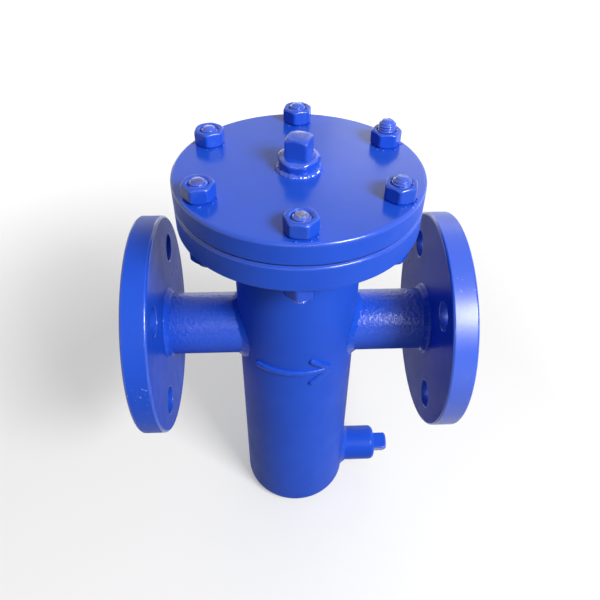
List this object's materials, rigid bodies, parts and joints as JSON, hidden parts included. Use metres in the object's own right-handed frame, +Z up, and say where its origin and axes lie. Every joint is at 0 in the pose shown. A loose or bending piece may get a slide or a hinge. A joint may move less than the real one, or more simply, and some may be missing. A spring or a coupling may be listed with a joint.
{
  "type": "basket strainer",
  "caption": "Upright in-line basket strainer of welded steel: pipe flanges, a bolted cover with a vent plug, a low side drain plug and a lift-out perforated basket.",
  "frame": {"origin": "middle of the flat base", "axes": "+Z up along the body tube, +X along the pipe axis from inlet to outlet, +Y to the back"},
  "size_m": [0.2, 0.14, 0.2973],
  "materials": {
    "enamel": "gloss enamel",
    "rough_enamel": "gloss enamel over a rough surface",
    "stud_steel": "threaded, painted over, bare at the tips",
    "stainless": "satin",
    "wire_mesh": "woven wire",
    "gasket": "matt"
  },
  "bodies": {
    "body": {"body_tube": "enamel", "bottom_cap": "enamel", "body_flange": "enamel", "inlet_flange": "enamel", "outlet_flange": "enamel", "drain_socket": "enamel", "inlet_neck": "rough_enamel", "outlet_neck": "rough_enamel", "inlet_weld": "enamel", "outlet_weld": "enamel", "drain_weld": "enamel", "seat_plate": "stainless", "cover_gasket": "gasket", "stud_1": "stud_steel", "stud_2": "stud_steel", "stud_3": "stud_steel", "stud_4": "stud_steel", "stud_5": "stud_steel", "stud_6": "stud_steel", "lower_nut_1": "enamel", "lower_nut_2": "enamel", "lower_nut_3": "enamel", "lower_nut_4": "enamel", "lower_nut_5": "enamel", "lower_nut_6": "enamel"},
    "cover": {"cover": "enamel", "vent_socket": "enamel", "vent_weld": "enamel"},
    "vent_plug": {"vent_plug": "enamel"},
    "drain_plug": {"drain_plug": "enamel"},
    "basket": {"basket_shell": "stainless", "basket_mesh": "wire_mesh", "basket_floor": "stainless", "basket_rim": "stainless", "basket_handle": "stainless"},
    "nut_1": {"cover_nut_1": "enamel"},
    "nut_2": {"cover_nut_2": "enamel"},
    "nut_3": {"cover_nut_3": "enamel"},
    "nut_4": {"cover_nut_4": "enamel"},
    "nut_5": {"cover_nut_5": "enamel"},
    "nut_6": {"cover_nut_6": "enamel"}
  },
  "joints": [
    {"name": "cover_lift", "type": "slide", "parent": "body", "child": "cover", "axis": [0, 0, 1], "range_m": [0, 0.3]},
    {"name": "basket_lift", "type": "slide", "parent": "body", "child": "basket", "axis": [0, 0, 1], "range_m": [0, 0.27]},
    {"name": "vent_plug_out", "type": "slide", "parent": "cover", "child": "vent_plug", "axis": [0, 0, 1], "range_m": [0, 0.02]},
    {"name": "drain_plug_out", "type": "slide", "parent": "body", "child": "drain_plug", "axis": [1, 0, 0], "range_m": [0, 0.025]},
    {"name": "nut_1_off", "type": "slide", "parent": "cover", "child": "nut_1", "axis": [0, 0, 1], "range_m": [0, 0.02]},
    {"name": "nut_2_off", "type": "slide", "parent": "cover", "child": "nut_2", "axis": [0, 0, 1], "range_m": [0, 0.02]},
    {"name": "nut_3_off", "type": "slide", "parent": "cover", "child": "nut_3", "axis": [0, 0, 1], "range_m": [0, 0.02]},
    {"name": "nut_4_off", "type": "slide", "parent": "cover", "child": "nut_4", "axis": [0, 0, 1], "range_m": [0, 0.02]},
    {"name": "nut_5_off", "type": "slide", "parent": "cover", "child": "nut_5", "axis": [0, 0, 1], "range_m": [0, 0.02]},
    {"name": "nut_6_off", "type": "slide", "parent": "cover", "child": "nut_6", "axis": [0, 0, 1], "range_m": [0, 0.02]}
  ],
  "couplings": [
    {"joint": "basket_lift", "follows": "cover_lift", "ratio": 0.9}
  ]
}
